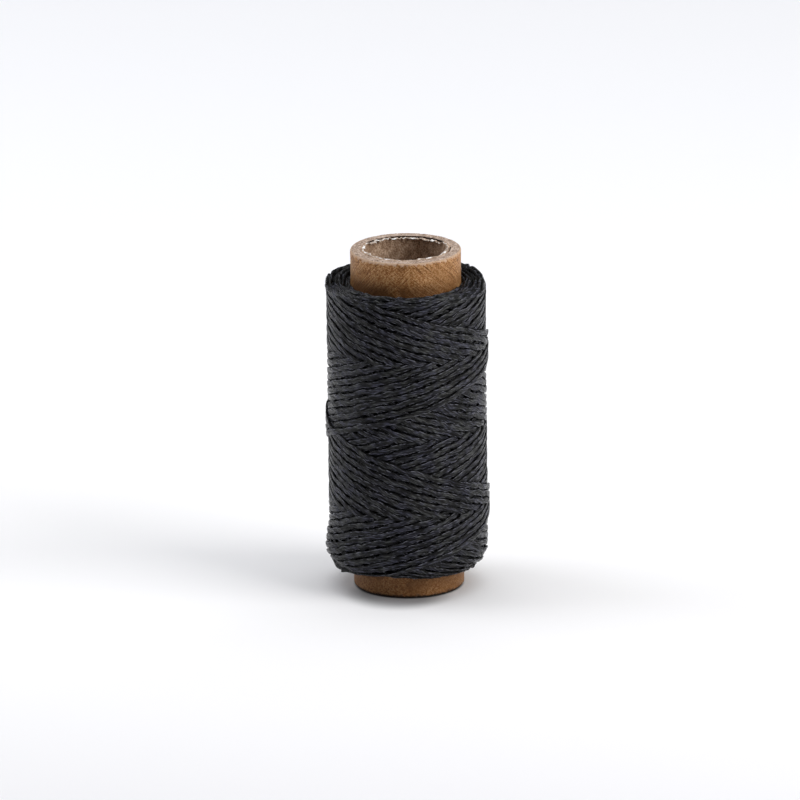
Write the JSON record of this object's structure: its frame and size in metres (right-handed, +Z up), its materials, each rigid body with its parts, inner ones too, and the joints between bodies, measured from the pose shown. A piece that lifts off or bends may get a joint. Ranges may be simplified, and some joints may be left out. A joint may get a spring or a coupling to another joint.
{
  "type": "waxed thread spool",
  "caption": "Small spool of flat waxed sewing thread, cross-wound on a rolled paper tube whose ends stand clear of the thread.",
  "frame": {"origin": "centre of the tube's lower end, on the surface that the spool stands on", "axes": "+Z up along the tube's axis; -Y towards the viewer, +X to the right; the ends of the thread lie at +Y"},
  "size_m": [0.0304, 0.0304, 0.0662],
  "materials": {
    "liner_paper": "matt grey-brown fibrous paper",
    "chipboard": "cut edge of grey recycled chipboard, torn at the bore",
    "kraft_paper": "warm brown kraft paper, slightly waxy, with diagonal fibres",
    "waxed_thread_inner": "black waxed polyester thread, packed layers",
    "waxed_thread": "black waxed polyester thread with a satin wax gloss"
  },
  "bodies": {
    "root": {"liner_ply": "liner_paper", "board_ply_1": "chipboard", "board_ply_2": "chipboard", "board_ply_3": "chipboard", "kraft_wrap": "kraft_paper", "inner_layers": "waxed_thread_inner", "outer_winding": "waxed_thread"}
  },
  "joints": []
}
